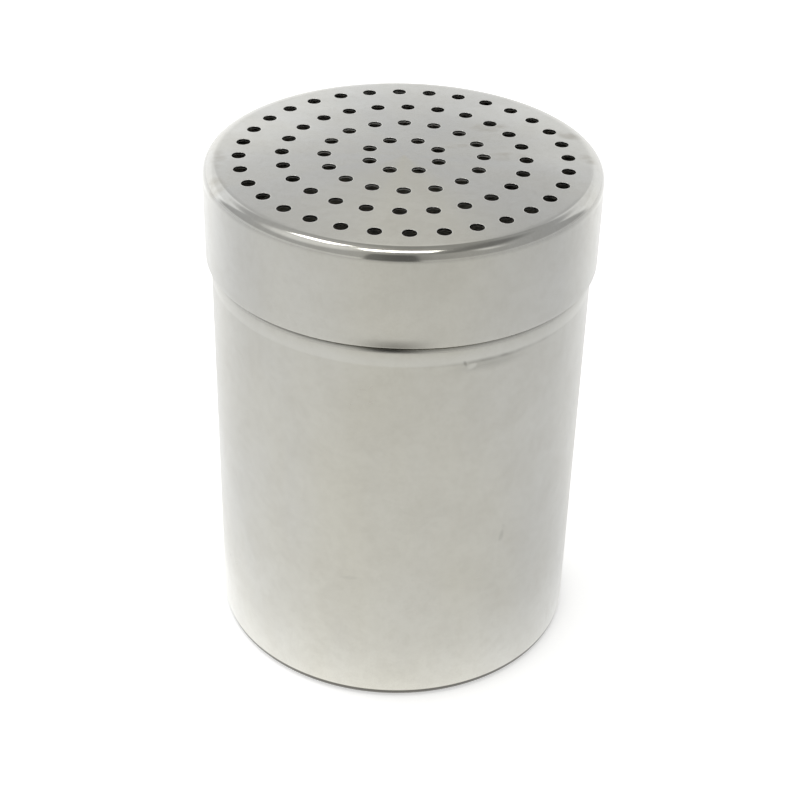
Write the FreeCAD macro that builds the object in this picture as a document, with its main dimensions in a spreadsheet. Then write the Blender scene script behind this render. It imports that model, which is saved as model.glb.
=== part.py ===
import FreeCAD, Part
import math
import os
import Sketcher

# Free-standing stainless shaker: a drawn can and a perforated cap that pushes down over its rim.
# Millimetres and degrees. The origin is the centre of the base, and the axis of both pieces is Z.

# Driving sizes: alias, value, meaning
DRIVING_SIZES = (
    ("can_diameter", 68.1, "outside of the straight wall of the can"),
    ("can_sheet", 0.5, "thickness of the drawn sheet of the can"),
    ("base_corner_radius", 1.5, "outside bend between the base and the wall"),
    ("foot_ring_width", 2.55, "width of the flat ring that the can stands on, inside that bend"),
    ("base_rise", 0.8, "how far the middle of the base is domed up off the table"),
    ("swell_length", 2.4, "from the faint crease up to the shoulder"),
    ("swell_depth", 0.11, "how far the wall swells outward between the crease and the shoulder"),
    ("shoulder_height", 75.2, "height where the wall starts to turn in to the neck"),
    ("shoulder_radius", 1.3, "outside bend at the top of the wall"),
    ("neck_foot_radius", 1.0, "hollow bend at the foot of the neck"),
    ("neck_inset", 1.15, "how far the neck stands in from the straight wall, outside to outside"),
    ("rim_height", 93.62, "height of the top of the curled rim"),
    ("curl_diameter", 2.0, "thickness of the curled rim"),
    ("cap_sheet", 0.5, "thickness of the drawn sheet of the cap"),
    ("cap_depth", 18.28, "from the crown of the cap to the edge of its skirt"),
    ("bend_over_curl", 0.74, "how much larger the cap's inside bend is than the curl it rests on"),
    ("crown_radius", 1340.0, "radius of the very slightly domed plate"),
    ("fit_gap", 0.10, "radial gap between the curled rim and the inside of the skirt"),
    ("seat_gap", 0.05, "gap left where the corner of the cap comes to rest on the rim"),
    ("hole_diameter", 2.5, "diameter of a punched hole"),
    ("hole_ring_radius", 6.46, "radius of the innermost ring of holes"),
    ("outer_ring_inset", 4.1, "from the start of the cap's bend in to the outermost ring of holes"),
    ("holes_in_first_ring", 8, "holes in the innermost ring, and how many each next ring adds"),
    ("first_ring_angle", 23.4, "angle of the first hole in the innermost ring"),
    ("second_ring_angle", 0.4, "angle of the first hole in the second ring"),
    ("third_ring_angle", -1.3, "angle of the first hole in the third ring"),
    ("fourth_ring_angle", 2.4, "angle of the first hole in the outermost ring"),
)
RING_ANGLES = ("first_ring_angle", "second_ring_angle", "third_ring_angle", "fourth_ring_angle")

# The numbers by which a sketch knows the points of an edge and its own two axes
START, END, ARC_CENTRE = range(1, 4)
LEVEL_AXIS, UPRIGHT_AXIS = -1, -2
ORIGIN_POINT = (LEVEL_AXIS, START)
FULL_TURN = 360.0
ON_AXIS = 1e-9
MINIMUM_MATERIAL = 1e-3


class Size:
    """A length that carries its present value and the formula that ties it to the sheet."""

    def __init__(self, value, formula):
        self.value = value
        self.formula = formula

    def __add__(self, other):
        other = as_size(other)
        return Size(self.value + other.value, f"({self.formula} + {other.formula})")

    def __sub__(self, other):
        other = as_size(other)
        return Size(self.value - other.value, f"({self.formula} - {other.formula})")

    def __mul__(self, other):
        other = as_size(other)
        return Size(self.value * other.value, f"({self.formula} * {other.formula})")

    def __truediv__(self, other):
        other = as_size(other)
        return Size(self.value / other.value, f"({self.formula} / {other.formula})")

    def __rmul__(self, other):
        return as_size(other) * self

    def __rsub__(self, other):
        return as_size(other) - self


def as_size(number):
    """Lets a plain number take part in a formula."""
    if isinstance(number, Size):
        return number
    return Size(float(number), f"{number}")


def square_root(area):
    return Size(math.sqrt(area.value), f"sqrt({area.formula})")


def other_leg(hypotenuse, leg):
    """The second leg of a right triangle."""
    return square_root(hypotenuse * hypotenuse - leg * leg)


def arc_radius_from_sagitta(half_chord, sagitta):
    """Radius of an arc that rises by the sagitta and lies square to the axis at its top."""
    return (half_chord * half_chord + sagitta * sagitta) / (2 * sagitta)


def make_sheet(document):
    sheet = document.addObject("Spreadsheet::Sheet", "Sizes")
    for row, (alias, value, meaning) in enumerate(DRIVING_SIZES, start=1):
        sheet.set(f"A{row}", alias)
        sheet.set(f"B{row}", str(value))
        sheet.set(f"C{row}", meaning)
        sheet.setAlias(f"B{row}", alias)
    document.recompute()
    return sheet


def size(sheet, alias):
    """Reads one driving size from the sheet."""
    return Size(float(sheet.get(alias)), f"Sizes.{alias}")


def origin_part(body, role):
    """One of the body's own origin planes or axes."""
    return next(part for part in body.Origin.OriginFeatures if part.Role == role)


def new_body(document, label):
    body = document.addObject("PartDesign::Body", label)
    body.Label = label
    body.Placement = FreeCAD.Placement()
    return body


def new_sketch(body, name, plane):
    sketch = body.newObject("Sketcher::SketchObject", name)
    sketch.AttachmentSupport = [(origin_part(body, plane), "")]
    sketch.MapMode = "FlatFace"
    return sketch


def bind(sketch, constraint, size_value):
    """Adds a driving constraint and ties it to its formula."""
    index = sketch.addConstraint(constraint)
    sketch.setExpression(f"Constraints[{index}]", size_value.formula)


def angle_about(centre, point):
    return math.atan2(point[1].value - centre[1].value, point[0].value - centre[0].value)


def add_line(sketch, start, end):
    """Adds a line and returns it with the names of its two ends."""
    line = Part.LineSegment(
        FreeCAD.Vector(start[0].value, start[1].value, 0),
        FreeCAD.Vector(end[0].value, end[1].value, 0),
    )
    return sketch.addGeometry(line), START, END


def add_arc(sketch, start, end, centre, radius, counterclockwise):
    """Adds an arc that runs from start to end about the centre."""
    circle = Part.Circle(
        FreeCAD.Vector(centre[0].value, centre[1].value, 0),
        FreeCAD.Vector(0, 0, 1),
        radius.value,
    )
    first = start if counterclockwise else end
    last = end if counterclockwise else start
    arc = Part.ArcOfCircle(circle, angle_about(centre, first), angle_about(centre, last))
    index = sketch.addGeometry(arc)
    bind(sketch, Sketcher.Constraint("Radius", index, radius.value), radius)
    if counterclockwise:
        return index, START, END
    return index, END, START


def draw_outline(sketch, start, moves):
    """Draws a closed outline of lines and arcs whose every corner is bound to the sheet.

    A move is its end point alone for a line, or its end point, centre, radius and sense for an arc.
    """
    edges = []
    corners = []
    here = start
    for move in moves:
        corners.append(here)
        if len(move) == 2:
            end = move
            edges.append(add_line(sketch, here, end))
        else:
            end, centre, radius, counterclockwise = move
            edges.append(add_arc(sketch, here, end, centre, radius, counterclockwise))
        here = end
    for position, (edge, first_end, _) in enumerate(edges):
        previous_edge, _, previous_end = edges[position - 1]
        sketch.addConstraint(
            Sketcher.Constraint("Coincident", previous_edge, previous_end, edge, first_end)
        )
        across, up = corners[position]
        if abs(across.value) < ON_AXIS:
            sketch.addConstraint(
                Sketcher.Constraint("PointOnObject", edge, first_end, UPRIGHT_AXIS)
            )
        else:
            bind(
                sketch,
                Sketcher.Constraint("DistanceX", *ORIGIN_POINT, edge, first_end, across.value),
                across,
            )
        bind(
            sketch,
            Sketcher.Constraint("DistanceY", *ORIGIN_POINT, edge, first_end, up.value),
            up,
        )


def revolve_outline(body, sketch, name):
    revolution = body.newObject("PartDesign::Revolution", name)
    revolution.Profile = sketch
    revolution.ReferenceAxis = (origin_part(body, "Z_Axis"), [""])
    revolution.Angle = FULL_TURN
    sketch.Visibility = False
    return revolution


def neck_radius(sheet):
    """Outside radius of the neck."""
    return size(sheet, "can_diameter") / 2 - size(sheet, "neck_inset")


def rim_sizes(sheet):
    """Centre and radius of the curled rim: the curl starts flush with the inside of the neck."""
    curl_radius = size(sheet, "curl_diameter") / 2
    curl_centre = (
        neck_radius(sheet) - size(sheet, "can_sheet") + curl_radius,
        size(sheet, "rim_height") - curl_radius,
    )
    return curl_centre, curl_radius


def cap_sizes(sheet):
    """Inside radius of the skirt, and inside radius and centre of the bend that meets the rim."""
    curl_centre, curl_radius = rim_sizes(sheet)
    skirt_inside = curl_centre[0] + curl_radius + size(sheet, "fit_gap")
    bend_inside = curl_radius + size(sheet, "bend_over_curl")
    across = skirt_inside - bend_inside
    centre_distance = size(sheet, "bend_over_curl") - size(sheet, "seat_gap")
    drop = other_leg(centre_distance, curl_centre[0] - across)
    return skirt_inside, bend_inside, (across, curl_centre[1] - drop)


def make_can(document, sheet):
    """The drawn can: domed base, straight wall, swell, shoulder, neck and rim curled outward."""
    body = new_body(document, "can")
    zero = as_size(0)
    gauge = size(sheet, "can_sheet")
    wall = size(sheet, "can_diameter") / 2
    corner = size(sheet, "base_corner_radius")
    foot = wall - corner - size(sheet, "foot_ring_width")
    rise = size(sheet, "base_rise")
    swell = size(sheet, "swell_depth")
    swell_height = size(sheet, "swell_length")
    shoulder_height = size(sheet, "shoulder_height")
    crease_height = shoulder_height - swell_height
    shoulder = size(sheet, "shoulder_radius")
    hollow = size(sheet, "neck_foot_radius")
    curl_centre, curl = rim_sizes(sheet)

    # The base is an arc about a point far below it, and its upper face is one gauge further out.
    dome = arc_radius_from_sagitta(foot, rise)
    dome_centre = (zero, rise - dome)
    foot_above = square_root(foot * foot + 2 * rise * gauge)

    # The swell starts at the crease and is upright again where the shoulder begins.
    swell_radius = arc_radius_from_sagitta(swell_height, swell)
    widest = wall + swell
    swell_centre = (widest - swell_radius, shoulder_height)
    crease_inside = shoulder_height - square_root(swell_height * swell_height - 2 * swell * gauge)

    # The shoulder and the foot of the neck turn through the same angle, so they meet smoothly.
    neck = neck_radius(sheet)
    neck_inside = neck - gauge
    both_bends = shoulder + hollow
    turn_cosine = 1 - (widest - neck) / both_bends
    turn_sine = other_leg(as_size(1), turn_cosine)
    shoulder_centre = (widest - shoulder, shoulder_height)
    neck_start = shoulder_height + both_bends * turn_sine
    hollow_centre = (neck + hollow, neck_start)

    def shoulder_point(radius):
        across = shoulder_centre[0] + radius * turn_cosine
        return across, shoulder_height + radius * turn_sine

    corner_centre = (wall - corner, corner)
    curl_inside = curl - gauge
    outside = (
        ((foot, zero), dome_centre, dome, False),
        (wall - corner, zero),
        ((wall, corner), corner_centre, corner, True),
        (wall, crease_height),
        ((widest, shoulder_height), swell_centre, swell_radius, True),
        (shoulder_point(shoulder), shoulder_centre, shoulder, True),
        ((neck, neck_start), hollow_centre, hollow, False),
        (neck, curl_centre[1]),
    )
    rim = (
        ((curl_centre[0], curl_centre[1] - curl_inside), curl_centre, curl_inside, False),
        (curl_centre[0], curl_centre[1] - curl),
        ((neck_inside, curl_centre[1]), curl_centre, curl, True),
    )
    inside = (
        (neck_inside, neck_start),
        (shoulder_point(shoulder - gauge), hollow_centre, hollow + gauge, True),
        ((widest - gauge, shoulder_height), shoulder_centre, shoulder - gauge, False),
        ((wall - gauge, crease_inside), swell_centre, swell_radius - gauge, False),
        (wall - gauge, corner),
        ((wall - corner, gauge), corner_centre, corner - gauge, False),
        (foot_above, gauge),
        ((zero, rise + gauge), dome_centre, dome + gauge, True),
        (zero, rise),
    )
    sketch = new_sketch(body, "CanSection", "XZ_Plane")
    draw_outline(sketch, (zero, rise), outside + rim + inside)
    revolve_outline(body, sketch, "DrawnCan")
    return body


def make_cap_shell(body, sheet):
    """The drawn cap before it is punched: domed plate, bend and straight skirt."""
    zero = as_size(0)
    gauge = size(sheet, "cap_sheet")
    crown = size(sheet, "crown_radius")
    inside_radius, corner_inside, corner_centre = cap_sizes(sheet)
    outside_radius = inside_radius + gauge
    corner = corner_inside + gauge

    # The plate's arc and the bend touch where the line through their centres crosses both.
    reach = crown - corner
    rise_between_centres = other_leg(reach, corner_centre[0])
    crown_centre = (zero, corner_centre[1] - rise_between_centres)
    top = crown_centre[1] + crown
    edge = top - size(sheet, "cap_depth")
    lip = gauge / 2
    lip_centre = (outside_radius - lip, edge + lip)

    def plate_point(radius):
        across = radius * corner_centre[0] / reach
        return across, crown_centre[1] + radius * rise_between_centres / reach

    moves = (
        (plate_point(crown), crown_centre, crown, False),
        ((outside_radius, corner_centre[1]), corner_centre, corner, False),
        (outside_radius, edge + lip),
        ((outside_radius - lip, edge), lip_centre, lip, False),
        ((inside_radius, edge + lip), lip_centre, lip, False),
        (inside_radius, corner_centre[1]),
        (plate_point(crown - gauge), corner_centre, corner_inside, True),
        ((zero, top - gauge), crown_centre, crown - gauge, True),
        (zero, top),
    )
    sketch = new_sketch(body, "CapSection", "XZ_Plane")
    draw_outline(sketch, (zero, top), moves)
    return revolve_outline(body, sketch, "DrawnCap")


def punch_ring(document, body, sheet, ring):
    """Punches one ring of holes through the plate of the cap."""
    number = ring + 1
    _, _, bend_centre = cap_sizes(sheet)
    innermost = size(sheet, "hole_ring_radius")
    outermost = bend_centre[0] - size(sheet, "outer_ring_inset")
    radius = innermost + (outermost - innermost) * ring / (len(RING_ANGLES) - 1)
    first_angle = math.radians(size(sheet, RING_ANGLES[ring]).value)
    hole = size(sheet, "hole_diameter")
    sketch = new_sketch(body, f"HoleInRing{number}", "XY_Plane")
    centre = FreeCAD.Vector(
        radius.value * math.cos(first_angle),
        radius.value * math.sin(first_angle),
        0,
    )
    circle = sketch.addGeometry(Part.Circle(centre, FreeCAD.Vector(0, 0, 1), hole.value / 2))
    spoke = sketch.addGeometry(Part.LineSegment(FreeCAD.Vector(0, 0, 0), centre), True)
    sketch.addConstraint(Sketcher.Constraint("Coincident", spoke, START, *ORIGIN_POINT))
    sketch.addConstraint(Sketcher.Constraint("Coincident", spoke, END, circle, ARC_CENTRE))
    bind(sketch, Sketcher.Constraint("Diameter", circle, hole.value), hole)
    bind(sketch, Sketcher.Constraint("Distance", spoke, radius.value), radius)
    angle = sketch.addConstraint(Sketcher.Constraint("Angle", spoke, first_angle))
    sketch.setExpression(f"Constraints[{angle}]", f"Sizes.{RING_ANGLES[ring]} * 1 deg")

    punch = body.newObject("PartDesign::Pocket", f"PunchRing{number}")
    punch.Profile = sketch
    punch.Type = "ThroughAll"
    punch.Reversed = True
    sketch.Visibility = False
    document.recompute()
    ring_of_holes = body.newObject("PartDesign::PolarPattern", f"HoleRing{number}")
    ring_of_holes.Originals = [punch]
    ring_of_holes.Axis = (origin_part(body, "Z_Axis"), [""])
    ring_of_holes.Angle = FULL_TURN
    ring_of_holes.Occurrences = round(number * size(sheet, "holes_in_first_ring").value)
    ring_of_holes.setExpression("Occurrences", f"{number} * Sizes.holes_in_first_ring")
    body.Tip = ring_of_holes
    document.recompute()


def make_cap(document, sheet):
    """The cap: a drawn shell with its rings of punched holes."""
    body = new_body(document, "perforated_cap")
    shell = make_cap_shell(body, sheet)
    document.recompute()
    volume = shell.Shape.Volume
    for ring in range(len(RING_ANGLES)):
        punch_ring(document, body, sheet, ring)
        if volume - body.Shape.Volume < MINIMUM_MATERIAL:
            raise RuntimeError(f"ring {ring + 1} of the holes took nothing out of the cap")
        volume = body.Shape.Volume
    return body


def check_and_export(document, pieces):
    """Stops on any failed object, then writes one file for each piece."""
    for item in document.Objects:
        if "Invalid" in item.State or "Error" in item.State:
            raise RuntimeError(f"{item.Label} did not compute: {item.State}")
    for piece in pieces:
        shape = piece.Shape
        if shape.isNull() or not shape.isValid() or len(shape.Solids) != 1:
            raise RuntimeError(f"{piece.Label} is not one sound solid")
    os.makedirs("parts", exist_ok=True)
    for piece in pieces:
        piece.Shape.exportStep(f"parts/{piece.Label}.step")
        box = piece.Shape.BoundBox
        print(f"{piece.Label}: {piece.Shape.Volume:.1f} mm3, z {box.ZMin:.3f} to {box.ZMax:.3f}")


def main():
    document = FreeCAD.newDocument("Shaker")
    sheet = make_sheet(document)
    can = make_can(document, sheet)
    cap = make_cap(document, sheet)
    document.recompute()
    check_and_export(document, (can, cap))
    gap = can.Shape.distToShape(cap.Shape)[0]
    print(f"least gap between can and cap: {gap:.3f} mm")


main()
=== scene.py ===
import math

import bpy
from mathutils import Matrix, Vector


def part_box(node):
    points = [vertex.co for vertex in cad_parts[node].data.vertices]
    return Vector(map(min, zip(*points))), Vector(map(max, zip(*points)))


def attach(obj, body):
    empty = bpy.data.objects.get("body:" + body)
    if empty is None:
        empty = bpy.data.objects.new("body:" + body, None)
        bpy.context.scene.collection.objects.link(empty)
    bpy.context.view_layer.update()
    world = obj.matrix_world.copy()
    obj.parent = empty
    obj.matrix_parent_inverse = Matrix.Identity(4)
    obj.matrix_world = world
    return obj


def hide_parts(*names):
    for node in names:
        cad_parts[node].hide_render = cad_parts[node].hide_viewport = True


# A round stainless shaker on a pale table: a drawn can and a perforated cap pushed over its rim.
# Metres. Angles round the axis are in degrees from the front, and grow towards the right.

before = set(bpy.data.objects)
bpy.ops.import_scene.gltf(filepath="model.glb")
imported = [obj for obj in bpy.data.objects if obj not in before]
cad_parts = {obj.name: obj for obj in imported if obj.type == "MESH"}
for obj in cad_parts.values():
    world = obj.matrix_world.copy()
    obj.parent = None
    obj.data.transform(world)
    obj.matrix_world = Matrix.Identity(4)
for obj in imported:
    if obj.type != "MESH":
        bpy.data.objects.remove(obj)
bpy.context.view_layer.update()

MM = 0.001
can_low, can_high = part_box("can")
cap_low, cap_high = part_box("perforated_cap")

# Outside sizes come from the frame
CAP_RADIUS = min(cap_high.x, cap_high.y, -cap_low.x, -cap_low.y)
CROWN_TOP = cap_high.z
CAP_EDGE = cap_low.z
RIM_RADIUS = min(can_high.x, can_high.y, -can_low.x, -can_low.y)
RIM_TOP = can_high.z

# Sheet, bends and steps of the two drawn pieces
SHEET = 0.5 * MM
CURL = 1.0 * MM
WALL = CAP_RADIUS - 0.95 * MM
NECK = RIM_RADIUS - 2 * CURL + SHEET
BASE_BEND = 1.5 * MM
FOOT_RING = 2.55 * MM
BASE_RISE = 0.8 * MM
SHOULDER_HEIGHT = CAP_EDGE - 1.523 * MM
SWELL_LENGTH = 2.4 * MM
SWELL = 0.11 * MM
CREASE = SHOULDER_HEIGHT - SWELL_LENGTH
SHOULDER_BEND = 1.3 * MM
NECK_BEND = 1.0 * MM
CAP_BEND = 2.24 * MM
CROWN_RADIUS = 1340 * MM

# Holes of the cap
HOLE = 1.25 * MM
HOLE_ROLL = 0.05 * MM
HOLE_COLLAR = 0.6 * MM
HOLE_BRIGHT = 0.1 * MM
FIRST_RING = 6.46 * MM
RING_PITCH = 7.4 * MM
HOLES_PER_RING = 8
RING_TURNS = (23.4, 0.4, -1.3, 2.4)

# Steps of the meshes round the axis and along the arcs of the sections
ROUND_STEPS = 320
HOLE_STEPS = 28
DOME_STEPS = 12
BASE_STEPS, BASE_INSIDE_STEPS = 14, 10
SWELL_STEPS = 6
SHOULDER_STEPS, SHOULDER_INSIDE_STEPS = 14, 10
HOLLOW_STEPS = 12
CURL_STEPS, CURL_INSIDE_STEPS = 36, 24
CURL_LIP_STEPS = 6
CAP_BEND_STEPS, CAP_BEND_INSIDE_STEPS = 28, 20
SKIRT_LIP_STEPS = 12
ROLL_STEPS, ROLL_UNDER_STEPS = 4, 2

# Rows of faces along the straight runs, and the narrow strips next to the crease and the bend
WALL_ROW = 1.1 * MM
WALL_INSIDE_ROW = 6 * MM
NECK_ROW = 4 * MM
SKIRT_ROW = 0.8 * MM
SKIRT_INSIDE_ROW = 1.5 * MM
CREASE_STRIP = 0.12 * MM
PLATE_STRIP = 0.4 * MM
MERGE = 0.002 * MM

# The place at the front of the skirt's edge that is pressed in
DENT_ANGLE = -1.8
DENT_HEIGHT = CAP_EDGE + 1.8 * MM
DENT_HALF_WIDTH = 7.0 * MM
DENT_BELOW, DENT_ABOVE = 2.3 * MM, 3.5 * MM
DENT_DEPTH = 0.33 * MM
DENT_END = 0.001

# Smudges on the plate: across, along, half width and half depth in millimetres, and lean
SMUDGES = (
    (29.0, 10.9, 3.6, 2.0, -30),
    (32.0, 1.0, 2.6, 1.6, -60),
    (15.2, 13.0, 4.4, 2.6, 15),
    (9.4, 4.3, 2.8, 1.1, 15),
    (18.0, 0.8, 4.8, 2.2, 5),
    (-31.5, -12.5, 2.2, 3.4, 20),
    (-32.0, -3.0, 1.8, 4.5, 5),
)

# Marks on the wall: angle, height, half width and half height in millimetres, and lean
SCRATCH = (34.3, 34.2, 0.7, 1.7, -12)
SCRATCH_END = (34.9, 36.2, 0.5, 0.9, 20)
LEVEL_SCRATCH = (-13.6, 27.6, 2.4, 0.5, 6)
# A painted dark tick of shade beside the ding at the crease.
CREASE_DING_SHADE = (18.8, CREASE / MM - 0.1, 0.35, 0.8, 25)
# The ding at the crease: a dent with a painted highlight on it.
CREASE_DING = (20.9, CREASE / MM - 0.9, 1.2, 0.7, 20)

# Colours of the steel, its wear, the painted highlights and painted shade on it, and the table
STEEL_COOL = (0.538, 0.541, 0.533, 1.0)
STEEL_WARM = (0.545, 0.532, 0.470, 1.0)
BAND_HIGHLIGHT = (0.61, 0.61, 0.585, 1.0)
DING_HIGHLIGHT = (0.70, 0.70, 0.66, 1.0)
ROLLED_HIGHLIGHT = (0.74, 0.74, 0.71, 1.0)
TORN_HIGHLIGHT = (0.80, 0.79, 0.75, 1.0)
STAIN = (0.30, 0.275, 0.225, 1.0)
SHADE = (0.045, 0.042, 0.036, 1.0)
INSIDE_BARE = (0.68, 0.67, 0.64, 1.0)
INSIDE_DUSTY = (0.66, 0.63, 0.56, 1.0)
TABLE_PALE = (0.88, 0.88, 0.88, 1.0)
TABLE_GRAIN = (0.80, 0.80, 0.79, 1.0)
DARK = (0.0, 0.0, 0.0, 1.0)
ROOM_LIGHT = (1.0, 1.0, 0.99, 1.0)

# How deep a height of 1 is in the finish of a surface
BUMP_DEPTH = 0.01 * MM

# The table, and the soft boxes: place, size, turn and power
TABLE_SIZE = 3.0
TABLE_CUTS = 8
BOX_HEIGHT = 0.70
BOX_COLOUR = (1.0, 0.99, 0.97)
SOFT_BOXES = (
    ("front_soft_box", (-0.010, -0.145), (0.28, 0.17), 0, 0.63),
    ("left_soft_box", (-0.245, 0.089), (0.19, 0.15), -54, 0.42),
)

# The camera of the photograph
CAMERA_PLACE = Vector((0.0, -267.06 * MM, CROWN_TOP + 123.33 * MM))
CAMERA_TURN = (56.8866, -1.2910, 0.7487)
CAMERA_LENS = 75.448


# Modelling steps

def deselect():
    """Leaves every object unselected and no mesh open."""
    if bpy.context.object and bpy.context.object.mode != "OBJECT":
        bpy.ops.object.mode_set(mode="OBJECT")
    bpy.ops.object.select_all(action="DESELECT")


def activate(piece):
    deselect()
    piece.select_set(True)
    bpy.context.view_layer.objects.active = piece


def open_mesh(piece, kind="VERT"):
    activate(piece)
    bpy.ops.object.mode_set(mode="EDIT")
    bpy.ops.mesh.select_mode(type=kind)


def close_mesh():
    """Merges the doubles of the open mesh, turns its faces outwards and shades it smooth."""
    bpy.ops.mesh.select_all(action="SELECT")
    bpy.ops.mesh.remove_doubles(threshold=MERGE)
    bpy.ops.mesh.select_all(action="SELECT")
    bpy.ops.mesh.normals_make_consistent(inside=False)
    bpy.ops.object.mode_set(mode="OBJECT")
    bpy.ops.object.shade_smooth()


def arc(centre, radius, first, last, steps):
    """Points on an arc in the plane of a section, both ends included, at angles in degrees."""
    points = []
    for step in range(steps + 1):
        angle = math.radians(first + (last - first) * step / steps)
        points.append((centre[0] + radius * math.cos(angle), centre[1] + radius * math.sin(angle)))
    return points


def rows(start, end, row):
    """Points along a straight run, both ends included, about one row apart."""
    count = max(1, round(math.dist(start, end) / row))
    return [
        tuple(a + (b - a) * step / count for a, b in zip(start, end)) for step in range(count + 1)
    ]


def joined(*runs):
    """One outline from several runs, with a shared end taken once."""
    outline = []
    for run in runs:
        for point in run:
            if not outline or math.dist(outline[-1], point) > MERGE:
                outline.append(point)
    return outline


def draw_section(name, outline):
    """Draws a section in the XZ plane: one point, extruded along the outline."""
    deselect()
    across, up = outline[0]
    bpy.ops.mesh.primitive_plane_add(size=MM, location=(across, 0, up))
    piece = bpy.context.object
    piece.name = name
    piece.data.name = name
    bpy.ops.object.transform_apply(location=True, rotation=True, scale=True)
    open_mesh(piece)
    bpy.ops.mesh.select_all(action="SELECT")
    bpy.ops.mesh.merge(type="CENTER")
    for here, there in zip(outline, outline[1:]):
        step = (there[0] - here[0], 0, there[1] - here[1])
        bpy.ops.mesh.extrude_region_move(TRANSFORM_OT_translate={"value": step})
    return piece


def spin_section(piece, steps):
    """Spins the open section about the axis and closes its seam and poles."""
    bpy.ops.mesh.select_all(action="SELECT")
    bpy.ops.mesh.spin(
        steps=steps, angle=math.tau, center=(0, 0, 0), axis=(0, 0, 1), use_auto_merge=False
    )
    close_mesh()
    return piece


def give_materials(piece, outside, inside, is_inside):
    """Two finishes on one piece: the second on the faces that the rule picks."""
    piece.data.materials.clear()
    piece.data.materials.append(outside)
    piece.data.materials.append(inside)
    for face in piece.data.polygons:
        face.material_index = 1 if is_inside(face) else 0


def press_in(piece):
    """Presses the soft dent into the skirt, by moving the points near it towards the axis."""
    for point in piece.data.vertices:
        turn = math.degrees(math.atan2(point.co.x, -point.co.y)) - DENT_ANGLE
        turn = (turn + 180) % 360 - 180
        across = math.radians(turn) * CAP_RADIUS / DENT_HALF_WIDTH
        up = point.co.z - DENT_HEIGHT
        up = up / DENT_ABOVE if up > 0 else up / DENT_BELOW
        share = math.exp(-(across * across + up * up))
        if share > DENT_END:
            flat = Vector((point.co.x, point.co.y, 0)).normalized()
            point.co -= flat * DENT_DEPTH * share


def mark_hole_edge(piece, radius):
    """Marks the points nearer to the axis than a radius, for the painted highlight on the edge of a
    punched hole.
    """
    mark = piece.data.attributes.new("hole_edge", "FLOAT", "POINT")
    for point in piece.data.vertices:
        near = math.hypot(point.co.x, point.co.y) < radius
        mark.data[point.index].value = 1.0 if near else 0.0


# The drawn can

def can_outline():
    """The section of the can: outside, curled rim, then the inside back to the axis."""
    widest = WALL + SWELL
    foot = WALL - BASE_BEND - FOOT_RING
    dome = (foot * foot + BASE_RISE * BASE_RISE) / (2 * BASE_RISE)
    dome_centre = (0, BASE_RISE - dome)
    dome_angle = math.degrees(math.acos(foot / dome))
    swell_radius = (SWELL_LENGTH ** 2 + SWELL ** 2) / (2 * SWELL)
    swell_centre = (widest - swell_radius, SHOULDER_HEIGHT)
    swell_angle = math.degrees(math.asin(SWELL_LENGTH / swell_radius))
    turn = math.degrees(math.acos(1 - (widest - NECK) / (SHOULDER_BEND + NECK_BEND)))
    shoulder_centre = (widest - SHOULDER_BEND, SHOULDER_HEIGHT)
    neck_start = SHOULDER_HEIGHT + (SHOULDER_BEND + NECK_BEND) * math.sin(math.radians(turn))
    hollow_centre = (NECK + NECK_BEND, neck_start)
    curl_centre = (NECK - SHEET + CURL, RIM_TOP - CURL)
    base_centre = (WALL - BASE_BEND, BASE_BEND)
    lip_centre = (curl_centre[0], curl_centre[1] - CURL + SHEET / 2)
    outside = joined(
        arc(dome_centre, dome, 90, dome_angle, DOME_STEPS),
        rows((foot, 0), (WALL - BASE_BEND, 0), FOOT_RING / 3),
        arc(base_centre, BASE_BEND, -90, 0, BASE_STEPS),
        rows((WALL, BASE_BEND), (WALL, CREASE - CREASE_STRIP), WALL_ROW),
        arc(swell_centre, swell_radius, -swell_angle, 0, SWELL_STEPS),
        arc(shoulder_centre, SHOULDER_BEND, 0, turn, SHOULDER_STEPS),
        arc(hollow_centre, NECK_BEND, 180 + turn, 180, HOLLOW_STEPS),
        rows((NECK, neck_start), (NECK, curl_centre[1]), NECK_ROW),
    )
    rim = joined(
        arc(curl_centre, CURL - SHEET, 180, -90, CURL_INSIDE_STEPS),
        arc(lip_centre, SHEET / 2, 90, 270, CURL_LIP_STEPS),
        arc(curl_centre, CURL, -90, 180, CURL_STEPS),
    )
    inside = joined(
        rows((NECK - SHEET, curl_centre[1]), (NECK - SHEET, neck_start), NECK_ROW),
        arc(hollow_centre, NECK_BEND + SHEET, 180, 180 + turn, HOLLOW_STEPS),
        arc(shoulder_centre, SHOULDER_BEND - SHEET, turn, 0, SHOULDER_INSIDE_STEPS),
        rows((widest - SHEET, SHOULDER_HEIGHT), (WALL - SHEET, CREASE), SWELL_LENGTH),
        rows((WALL - SHEET, CREASE), (WALL - SHEET, BASE_BEND), WALL_INSIDE_ROW),
        arc(base_centre, BASE_BEND - SHEET, 0, -90, BASE_INSIDE_STEPS),
        arc(dome_centre, dome + SHEET, dome_angle, 90, DOME_STEPS),
    )
    return joined(outside, rim, inside)


def inside_the_can(face):
    """Whether a face is on the inside of the can, the curled rim not included."""
    flat = Vector((face.center.x, face.center.y, 0))
    if face.center.z > RIM_TOP - 2 * CURL:
        return False
    if flat.length < WALL - BASE_BEND:
        return face.normal.z > 0
    return face.normal.dot(flat) < 0


def make_can(outside, inside):
    piece = spin_section(draw_section("drawn_can", can_outline()), ROUND_STEPS)
    give_materials(piece, outside, inside, inside_the_can)
    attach(piece, "can")
    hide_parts("can")
    return piece


# The perforated cap

def bend_centre():
    """Centre of the cap's bend in the plane of a section."""
    across = CAP_RADIUS - CAP_BEND
    reach = CROWN_RADIUS - CAP_BEND
    return across, CROWN_TOP - CROWN_RADIUS + math.sqrt(reach * reach - across * across)


def crown(radius):
    """Height of the crown above the middle of its sphere."""
    return math.sqrt(CROWN_RADIUS ** 2 - radius ** 2)


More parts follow.
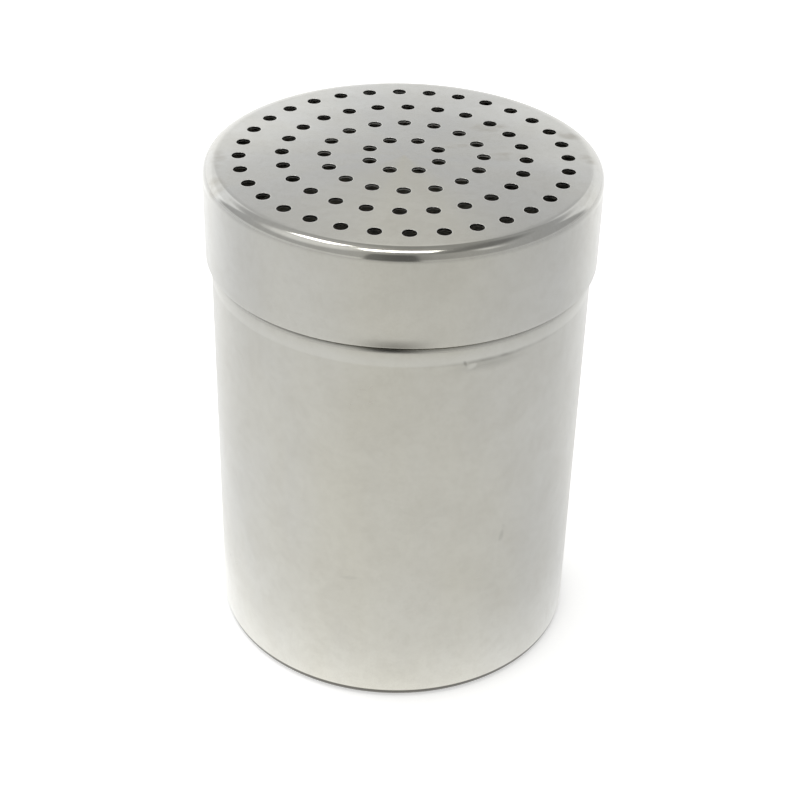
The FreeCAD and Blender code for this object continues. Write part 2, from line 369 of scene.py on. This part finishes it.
def make_cap_rim():
    """The bend and the skirt, open towards the plate on both faces of the sheet."""
    centre = bend_centre()
    slope = math.degrees(math.asin(centre[0] / (CROWN_RADIUS - CAP_BEND)))
    lip_centre = (CAP_RADIUS - SHEET / 2, CAP_EDGE + SHEET / 2)
    outer_bend = arc(centre, CAP_BEND, 90 - slope, 0, CAP_BEND_STEPS)
    inner_bend = arc(centre, CAP_BEND - SHEET, 0, 90 - slope, CAP_BEND_INSIDE_STEPS)
    outline = joined(
        [(outer_bend[0][0] - PLATE_STRIP, outer_bend[0][1])],
        outer_bend,
        rows(outer_bend[-1], (CAP_RADIUS, lip_centre[1]), SKIRT_ROW),
        arc(lip_centre, SHEET / 2, 0, -180, SKIRT_LIP_STEPS),
        rows((CAP_RADIUS - SHEET, lip_centre[1]), inner_bend[0], SKIRT_INSIDE_ROW),
        inner_bend,
        [(inner_bend[-1][0] - PLATE_STRIP, inner_bend[-1][1])],
    )
    piece = spin_section(draw_section("punched_cap", outline), ROUND_STEPS)
    mark_hole_edge(piece, 0)
    return piece, outer_bend[0]


def make_hole(top):
    """One punched hole on the axis: its rolled edge, its wall and a collar of sheet round it."""
    edge = HOLE + HOLE_ROLL
    collar = HOLE + HOLE_COLLAR
    outline = joined(
        [(collar, top), (edge + HOLE_BRIGHT, top)],
        arc((edge, top - HOLE_ROLL), HOLE_ROLL, 90, 180, ROLL_STEPS),
        arc((edge, top - SHEET + HOLE_ROLL), HOLE_ROLL, 180, 270, ROLL_UNDER_STEPS),
        [(collar, top - SHEET)],
    )
    piece = spin_section(draw_section("hole", outline), HOLE_STEPS)
    mark_hole_edge(piece, edge + MERGE)
    return piece


def hole_places():
    """Where the holes stand: ring by ring, each ring with 8 more holes than the one inside it."""
    places = []
    for ring, turn in enumerate(RING_TURNS):
        radius = FIRST_RING + ring * RING_PITCH
        count = HOLES_PER_RING * (ring + 1)
        for index in range(count):
            angle = math.radians(turn) + math.tau * index / count
            places.append((radius * math.cos(angle), radius * math.sin(angle)))
    return places


def make_holes(top):
    """All the holes, each a copy of the first with its own mesh."""
    first = make_hole(top)
    holes = [first]
    places = hole_places()
    while len(holes) < len(places):
        hole = first.copy()
        hole.data = first.data.copy()
        bpy.context.scene.collection.objects.link(hole)
        holes.append(hole)
    for hole, (across, along) in zip(holes, places):
        hole.location = (across, along, 0)
    return holes


def fill_plate(piece, level):
    """Fills the sheet between the rim and all the hole collars at one level."""
    open_mesh(piece)
    bpy.ops.mesh.select_all(action="DESELECT")
    bpy.ops.mesh.select_non_manifold(
        extend=False, use_wire=False, use_boundary=True, use_multi_face=False,
        use_non_contiguous=False, use_verts=False,
    )
    bpy.ops.object.mode_set(mode="OBJECT")
    for point in piece.data.vertices:
        point.select = point.select and abs(point.co.z - level) < SHEET / 4
    for edge in piece.data.edges:
        edge.select = all(piece.data.vertices[end].select for end in edge.vertices)
    for face in piece.data.polygons:
        face.select = False
    bpy.ops.object.mode_set(mode="EDIT")
    bpy.ops.mesh.fill(use_beauty=True)


def dome_plate(piece, edge):
    """Lifts the flat plate to its slight crown."""
    for point in piece.data.vertices:
        radius = math.hypot(point.co.x, point.co.y)
        if radius < edge - MERGE:
            point.co.z += crown(radius) - crown(edge)


def inside_the_cap(face):
    """Whether a face is on the underside of the cap's sheet."""
    radius = math.hypot(face.center.x, face.center.y)
    across, up = bend_centre()
    if radius > across:
        height = max(face.center.z - up, 0)
        below = CAP_BEND - math.hypot(radius - across, height)
    else:
        below = CROWN_TOP - CROWN_RADIUS + crown(radius) - face.center.z
    return below > 0.6 * SHEET


def make_cap(outside, inside):
    piece, (plate_edge, top) = make_cap_rim()
    holes = make_holes(top)
    activate(piece)
    for hole in holes:
        hole.select_set(True)
    bpy.ops.object.join()
    bpy.ops.object.transform_apply(location=True, rotation=True, scale=True)
    fill_plate(piece, top)
    fill_plate(piece, top - SHEET)
    open_mesh(piece)
    close_mesh()
    dome_plate(piece, plate_edge)
    give_materials(piece, outside, inside, inside_the_cap)
    press_in(piece)
    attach(piece, "cap")
    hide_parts("perforated_cap")
    return piece


# Materials

class Value:
    """A number that varies over a surface. Arithmetic on it adds the Math nodes."""

    def __init__(self, shader, socket):
        self.shader = shader
        self.socket = socket

    def maths(self, operation, *others):
        return self.shader.number("ShaderNodeMath", {"operation": operation}, self, *others)

    def __add__(self, other):
        return self.maths("ADD", other)

    def __radd__(self, other):
        return self.maths("ADD", other)

    def __sub__(self, other):
        return self.maths("SUBTRACT", other)

    def __rsub__(self, other):
        return self.shader.number("ShaderNodeMath", {"operation": "SUBTRACT"}, other, self)

    def __mul__(self, other):
        return self.maths("MULTIPLY", other)

    def __rmul__(self, other):
        return self.maths("MULTIPLY", other)

    def __truediv__(self, other):
        return self.maths("DIVIDE", other)

    def __pow__(self, other):
        return self.maths("POWER", other)

    def __abs__(self):
        return self.maths("ABSOLUTE")

    def step(self, low, high):
        """0 below low, 1 above high, smooth between them."""
        return self.shader.number(
            "ShaderNodeMapRange", {"interpolation_type": "SMOOTHSTEP"}, self, low, high, 0.0, 1.0
        )

    def bell(self, middle, half_width):
        """1 at the middle, falling smoothly to 0 half a width away on either side."""
        return 1 - abs((self - middle) / half_width).step(0.0, 1.0)

    def fading(self, rate):
        """1 where the value is 0, fading out as it grows."""
        return (self * -rate).maths("EXPONENT")


class Shader:
    """Adds nodes to one tree."""

    def __init__(self, tree):
        self.tree = tree
        tree.nodes.clear()

    def node(self, kind, settings=None, *values, **named):
        """Adds a node: its settings first, then what its sockets hold or are linked to."""
        node = self.tree.nodes.new(kind)
        for name, setting in (settings or {}).items():
            setattr(node, name, setting)
        for index, value in enumerate(values):
            self.plug(node.inputs[index], value)
        for name, value in named.items():
            self.plug(node.inputs[name.replace("_", " ")], value)
        return node

    def plug(self, socket, value):
        if isinstance(value, Value):
            value = value.socket
        if isinstance(value, bpy.types.NodeSocket):
            self.tree.links.new(value, socket)
        else:
            socket.default_value = value

    def number(self, kind, settings=None, *values, output=0, **named):
        """A value from one output of a new node."""
        return Value(self, self.node(kind, settings, *values, **named).outputs[output])

    def parts(self, vector):
        """The three numbers of a vector."""
        node = self.node("ShaderNodeSeparateXYZ", None, vector)
        return [Value(self, socket) for socket in node.outputs]

    def mix_colours(self, share, first, second):
        node = self.node("ShaderNodeMix", {"data_type": "RGBA"})
        self.plug(node.inputs[0], share)
        self.plug(node.inputs[6], first)
        self.plug(node.inputs[7], second)
        return node.outputs[2]


class Surface(Shader):
    """A shader for the surface of a piece, with the places that its patterns read, in millimetres."""

    def __init__(self, name):
        self.material = bpy.data.materials.new(name)
        self.material.use_nodes = True
        super().__init__(self.material.node_tree)
        place = self.node("ShaderNodeTexCoord").outputs["Object"]
        scaled = self.node("ShaderNodeVectorMath", {"operation": "SCALE"}, place, Scale=1 / MM)
        self.place = scaled.outputs[0]
        self.x, self.y, self.z = self.parts(self.place)
        self.radius = (self.x * self.x + self.y * self.y) ** 0.5
        self.turn = self.number("ShaderNodeMath", {"operation": "ARCTAN2"}, self.x, 0 - self.y)

    def noise(self, scale, detail=2.0, roughness=0.5, place=None):
        """Cloudy noise between 0 and 1, with so many clouds in a millimetre."""
        return self.number(
            "ShaderNodeTexNoise", {"noise_dimensions": "3D"},
            Vector=place or self.place, Scale=scale, Detail=detail, Roughness=roughness,
        )

    def wrapped(self, across, up):
        """A place for patterns that are drawn out round the wall or up it."""
        sine = self.turn.maths("SINE")
        cosine = self.turn.maths("COSINE")
        node = self.node(
            "ShaderNodeCombineXYZ", None, sine * across, cosine * across, self.z * up
        )
        return node.outputs[0]

    def facing(self, angle, half_width):
        """1 on the side that faces an angle, fading to 0 half a width away, which is in radians."""
        return self.turn.bell(math.radians(angle), half_width)

    def oval(self, right, up, half_width, half_height, lean):
        """A soft-edged oval, 1 at its middle, from the distances to its middle."""
        sine, cosine = math.sin(math.radians(lean)), math.cos(math.radians(lean))
        across = (right * cosine + up * sine) / half_width
        along = (up * cosine - right * sine) / half_height
        return 1 - (across * across + along * along).step(0.0, 1.0)

    def spot(self, x, y, half_width, half_depth, lean):
        """An oval on the plate."""
        return self.oval(self.x - x, self.y - y, half_width, half_depth, lean)

    def mark(self, angle, height, half_width, half_height, lean):
        """An oval on the wall."""
        right = (self.turn - math.radians(angle)) * (WALL / MM)
        return self.oval(right, self.z - height, half_width, half_height, lean)

    def finish(self, colour, roughness, height, metallic):
        """Plain metal from its colour, its roughness and the height of its surface."""
        metal = self.node(
            "ShaderNodeBsdfPrincipled", None,
            Base_Color=colour, Metallic=metallic, Roughness=roughness,
        )
        bump = self.node(
            "ShaderNodeBump", None, Strength=1.0, Distance=BUMP_DEPTH, Height=height
        )
        self.plug(metal.inputs["Normal"], bump.outputs[0])
        return self.end_with(metal)

    def end_with(self, shading):
        output = self.node("ShaderNodeOutputMaterial")
        self.tree.links.new(shading.outputs[0], output.inputs[0])
        return self.material


def satin(surface, warm_reflection_and_tone):
    """Colour, roughness and waves of satin sheet, cloudy with handling and drawn out up the wall,
    with a painted warm reflection on the side that faces the front.
    """
    clouds = surface.noise(0.06, place=surface.wrapped(34.0, 0.35))
    blotch = surface.noise(0.14)
    mottle = surface.noise(0.6)
    grain = surface.noise(2.6, 1.0)
    # Painted warm reflection on the side that faces the front, mixed with cloudy tone.
    warm_reflection_and_tone = warm_reflection_and_tone * 0.65 + clouds.step(0.3, 0.7) * 0.25
    colour = surface.mix_colours(warm_reflection_and_tone, STEEL_COOL, STEEL_WARM)
    darker = blotch.step(0.35, 0.7) * 0.07 + mottle.step(0.35, 0.7) * 0.06
    darker = darker + grain.step(0.35, 0.7) * 0.05
    colour = surface.mix_colours(darker, colour, STAIN)
    roughness = 0.19 + clouds * 0.04 + blotch * 0.05 + mottle * 0.02
    waves = surface.noise(0.05, 0.0) * 12.0 + surface.noise(0.16, 0.0) * 1.2
    return colour, roughness, waves


def crease_shade(surface):
    """Painted shade: the faint dark line of the crease on the right, its softer shade below, and the
    dark tick beside the ding.
    """
    crease = CREASE / MM
    line = surface.z.bell(crease, 0.60) * surface.facing(30, math.radians(30))
    line = line * (0.5 + surface.noise(0.45).step(0.3, 0.65) * 0.5)
    under = surface.z.bell(crease - 0.9, 1.6) * surface.facing(27, math.radians(16))
    ding_shade = surface.mark(*CREASE_DING_SHADE)
    return line * 0.32 + under * 0.20 + ding_shade * 0.25


def seam_shade(surface):
    """Painted shade in the seam where the shoulder goes in under the cap, deepest at the front."""
    shoulder = SHOULDER_HEIGHT / MM
    front = surface.facing(-2.5, 0.19)
    left = (0 - surface.turn).step(-0.1, 0.3)
    rise = surface.z - shoulder + front * 0.14
    seam = rise.step(0.52, 0.82) * (1 - surface.z.step(shoulder + 2.6, shoulder + 3.6))
    return seam * (0.22 + left * 0.2 + front * 0.5)


def can_steel():
    """Satin sheet of the can, with painted shade in the seam under the cap, along the crease and
    round the foot, painted highlights under the shoulder and on the ding, and a few handling marks.
    """
    surface = Surface("can_satin_steel")
    colour, roughness, waves = satin(surface, surface.facing(-2, 1.5))
    shoulder, crease = SHOULDER_HEIGHT / MM, CREASE / MM
    # Painted highlight on the strip between the crease and the shoulder.
    band_highlight = surface.z.step(crease - 0.1, crease + 0.1)
    band_highlight = band_highlight * (1 - surface.z.step(crease + 0.8, shoulder + 0.2))
    colour = surface.mix_colours(band_highlight * 0.3, colour, BAND_HIGHLIGHT)
    # Painted shade in the seam under the cap.
    colour = surface.mix_colours(seam_shade(surface), colour, SHADE)
    scratch = surface.mark(*SCRATCH) + surface.mark(*SCRATCH_END) * 0.5
    level_scratch = surface.mark(*LEVEL_SCRATCH)
    # Painted shade round the foot, where the bend mirrors the dark table under it.
    foot = 1 - surface.z.step(1.48, 1.68)
    # Painted shade of the crease and the foot, and the darker scratches.
    dark = crease_shade(surface) + scratch * 0.13 + level_scratch * 0.07 + foot * 0.87
    colour = surface.mix_colours(dark, colour, SHADE)
    # The ding: a dent, with a painted highlight on it.
    ding = surface.mark(*CREASE_DING)
    colour = surface.mix_colours(ding * 0.35, colour, DING_HIGHLIGHT)
    lines = surface.noise(1.0, 1.0, place=surface.wrapped(2.5, 2.2))
    height = waves + lines * 0.06 - ding * 5.0 - scratch * 3.0 - level_scratch * 0.6
    return surface.finish(colour, roughness + lines * 0.02, height, 1.0)


def skirt_edge_shade(surface):
    """Painted shade on the front of the skirt, just above its edge."""
    edge = CAP_EDGE / MM
    edge_shade = (1 - surface.z.step(edge + 0.2, edge + 2.0)) * surface.facing(-1.2, 0.24)
    return edge_shade * surface.z.step(edge - 0.1, edge + 0.3) * 0.48


def cap_steel():
    """The cap: as the can, with a polished bend, painted highlights and painted shade in the holes,
    painted shade on the front of the skirt, and smudges on the plate.
    """
    surface = Surface("cap_satin_steel")
    colour, roughness, waves = satin(surface, surface.facing(-2, 1.2))
    crown_top, bend_start = CROWN_TOP / MM, (CAP_RADIUS - CAP_BEND) / MM
    top = surface.z.step(crown_top - 3.0, crown_top - 1.6)
    smudge = sum(surface.spot(*spot) for spot in SMUDGES)
    smudge = smudge * surface.noise(0.35).step(0.25, 0.75) * top
    colour = surface.mix_colours(smudge * 0.48, colour, STAIN)
    # Painted shade on the front of the skirt, just above its edge.
    colour = surface.mix_colours(skirt_edge_shade(surface), colour, SHADE)

    # The wall of a hole: a painted highlight on the rolled edge, painted shade down the cut, and a
    # pale, rough torn line under it whose painted highlight fades in the outer rings
    below = crown_top - surface.z - surface.radius * surface.radius * (MM / (2 * CROWN_RADIUS))
    plate = 1 - surface.radius.step(31.0, 31.6)
    hole_edge = surface.number("ShaderNodeAttribute", {"attribute_name": "hole_edge"}, output=2)
    rolled_highlight = hole_edge * (1 - below.step(0.03, 0.09))
    colour = surface.mix_colours(rolled_highlight * 0.7, colour, ROLLED_HIGHLIGHT)
    cut_shade = below.step(0.03, 0.09) * (1 - below.step(0.22, 0.30)) * plate
    colour = surface.mix_colours(cut_shade * 0.80, colour, SHADE)
    torn_and_highlight = below.bell(0.36, 0.12) * (1 - surface.radius.step(15.0, 23.0) * 0.8) * plate
    colour = surface.mix_colours(torn_and_highlight, colour, TORN_HIGHLIGHT)

    bend = surface.z.step(crown_top - 3.4, crown_top - 2.4)
    bend = bend * surface.radius.step(bend_start - 0.6, bend_start)
    roughness = (roughness + smudge * 0.12) * (1 - top * 0.25) * (1 - bend * 0.38) + torn_and_highlight * 0.3
    return surface.finish(colour, roughness, waves + smudge * 0.3, 1 - torn_and_highlight)


def inside_steel(name):
    """The inside of the sheet: dull with a pale film of spice dust."""
    surface = Surface(name)
    clouds = surface.noise(0.12, 4.0, 0.6)
    drawn = surface.noise(1.0, 4.0, 0.7, place=surface.wrapped(40.0, 0.15))
    dust = clouds.step(0.35, 0.7)
    colour = surface.mix_colours(dust, INSIDE_BARE, INSIDE_DUSTY)
    roughness = 0.38 + clouds * 0.12 + drawn * 0.06
    return surface.finish(colour, roughness, clouds * 2.0 + drawn * 0.2, 0.40 - dust * 0.25)


# Table, light and camera

def table_glow(surface):
    """How much painted light the table adds as glow: most behind the shaker and close round it, with
    a painted contact shadow round the foot and no glow under it.
    """
    away = surface.radius - WALL / MM
    side = surface.x / surface.radius
    depth = surface.y / surface.radius
    behind = depth.step(0.0, 0.9)
    left = (0 - side).step(-0.1, 0.9)
    ahead = (1 - depth.step(-0.9, -0.6)) * side.bell(-0.04, 0.42)
    near = away.fading(0.025) * 0.27 + away.fading(0.12) * 0.44
    near = near * (1 - side.step(0.5, 1.0) * 0.25)
    pool = 0.21 - away.step(60.0, 260.0) * 0.13 - away.step(130.0, 450.0) * ahead * 0.10
    behind = behind * (0.15 + away.step(60.0, 220.0) * 0.40)
    seen = surface.number("ShaderNodeLightPath", output="Is Camera Ray")
    # Painted contact shadow on the table just outside the foot.
    contact_shadow = away.maths("MAXIMUM", 0.0).fading(0.4) * 0.05
    glow = near * (1 - seen) + pool + left * 0.08 + behind + seen * (0.32 - contact_shadow)
    return glow * away.step(-1.45, -0.85)


def make_table():
    """A pale table top that runs on past the view."""
    deselect()
    bpy.ops.mesh.primitive_plane_add(size=TABLE_SIZE, location=(0, 0, 0))
    table = bpy.context.object
    table.name = "table"
    open_mesh(table, "FACE")
    bpy.ops.mesh.select_all(action="SELECT")
    bpy.ops.mesh.subdivide(number_cuts=TABLE_CUTS)
    bpy.ops.object.mode_set(mode="OBJECT")
    surface = Surface("pale_table")
    grain = surface.noise(0.09, 3.0)
    colour = surface.mix_colours(grain * 0.05, TABLE_PALE, TABLE_GRAIN)
    light = surface.mix_colours(table_glow(surface), DARK, ROOM_LIGHT)
    light.node.clamp_factor = False
    paint = surface.node(
        "ShaderNodeBsdfPrincipled", None,
        Base_Color=colour, Roughness=0.8, Emission_Color=light, Emission_Strength=1.0,
    )
    paint.inputs["Specular IOR Level"].default_value = 0.1
    table.data.materials.append(surface.end_with(paint))


class Room(Shader):
    """A shader for the room, with the directions that its lights read."""

    def __init__(self, world):
        super().__init__(world.node_tree)
        self.x, self.y, self.z = self.parts(self.node("ShaderNodeTexCoord").outputs["Generated"])
        level = (self.x * self.x + self.y * self.y) ** 0.5 + 0.0001
        self.back = self.y / level
        self.side = self.x / level
        self.front = 1 - self.back.step(-0.3, 0.1)
        self.dark = self.side.step(-0.36, -0.33) * (1 - self.side.step(0.14, 0.20)) * self.front


def wall_glow(room):
    """Grey walls with a window on the right, a glow above on the left and a dark patch in front."""
    side, z = room.side, room.z
    glow = 0.60 - side.step(-0.30, 0.0) * 0.17 + side.step(0.10, 0.62) * 0.11
    ceiling = z.step(0.76, 0.88) * room.x.step(0.08, 0.35)
    window = side.bell(0.86, 0.13) * z.bell(0.74, 0.17) * room.front
    halo = (room.x * -0.55 + room.y * -0.15 + z * 0.82).step(0.88, 0.99)
    glow = glow * (1 - ceiling * 0.5) + window * 0.45 + halo * 0.5
    patch = room.dark * z.step(-0.05, 0.05) * (1 - z.step(0.72, 0.84))
    glow = glow * (1 - patch * 0.60)
    low = (0.90 - side.step(-0.35, 0.1) * 0.17) * (1 - z.step(0.14, 0.22)) * (1 - room.dark)
    return glow.maths("MAXIMUM", low)


def sweep_glow(room):
    """The white sweep behind: it fades as it rises, with a brighter head and a grey bar below it."""
    side, z = room.side, room.z
    head = 1 - abs(side).step(0.02, 0.11)
    middle = 1 - abs(side).step(0.05, 0.10)
    rise = z - side * side * 3.3
    glow = 1.25 - rise.step(0.30, 0.42) * 0.47
    glow = glow + z.step(0.46, 0.53) * head * 0.12 + z.step(0.43, 0.46) * middle * 0.05
    glow = glow - z.bell(0.408, 0.045) * middle * 0.26
    edges = side.step(0.03, 0.11) * 0.15 + (0 - side).step(0.07, 0.12) * 0.08
    glow = glow - z.step(0.415, 0.44) * edges
    return glow + (0 - side).step(0.0, 0.05) * (1 - z.step(0.38, 0.402)) * 0.18


def ground_glow(room):
    """The table far away, as the steel mirrors it."""
    glow = (0.88 - room.side.step(-0.35, 0.1) * 0.16) * (1 - room.dark * 0.6)
    return glow + room.back.step(0.0, 0.6) * 0.35


def make_world():
    """The room that the steel mirrors, which is plain white where the camera sees it."""
    world = bpy.data.worlds.new("soft_room")
    bpy.context.scene.world = world
    world.use_nodes = True
    room = Room(world)
    sweep = room.back.step(0.42, 0.54) * (1 - room.z.step(0.56, 0.68))
    ground = 1 - room.z.step(-0.03, 0.0)
    glow = wall_glow(room) * (1 - sweep) + sweep * sweep_glow(room)
    glow = glow * (1 - ground) + ground * ground_glow(room)
    seen = room.number("ShaderNodeLightPath", output="Is Camera Ray")
    light = room.node("ShaderNodeBackground", None, Strength=glow * (1 - seen) + seen)
    light.inputs["Color"].default_value = ROOM_LIGHT
    output = room.node("ShaderNodeOutputWorld")
    room.tree.links.new(light.outputs[0], output.inputs[0])


def make_lights():
    """Two soft boxes overhead, whose images are the streak along the front of the cap's bend."""
    for name, (across, along), size, turn, power in SOFT_BOXES:
        lamp = bpy.data.lights.new(name, "AREA")
        lamp.shape = "RECTANGLE"
        lamp.size, lamp.size_y = size
        lamp.energy = power
        lamp.color = BOX_COLOUR
        box = bpy.data.objects.new(name, lamp)
        bpy.context.scene.collection.objects.link(box)
        box.location = (across, along, BOX_HEIGHT)
        box.rotation_euler = (0, 0, math.radians(turn))


def make_camera():
    data = bpy.data.cameras.new("camera")
    data.lens = CAMERA_LENS
    data.clip_start = 0.01
    data.clip_end = 20.0
    camera = bpy.data.objects.new("camera", data)
    bpy.context.scene.collection.objects.link(camera)
    camera.location = CAMERA_PLACE
    camera.rotation_euler = [math.radians(angle) for angle in CAMERA_TURN]
    bpy.context.scene.camera = camera


make_can(can_steel(), inside_steel("can_inside_steel"))
make_cap(cap_steel(), inside_steel("cap_inside_steel"))
make_table()
make_world()
make_lights()
make_camera()
bpy.context.scene.view_settings.view_transform = "Standard"
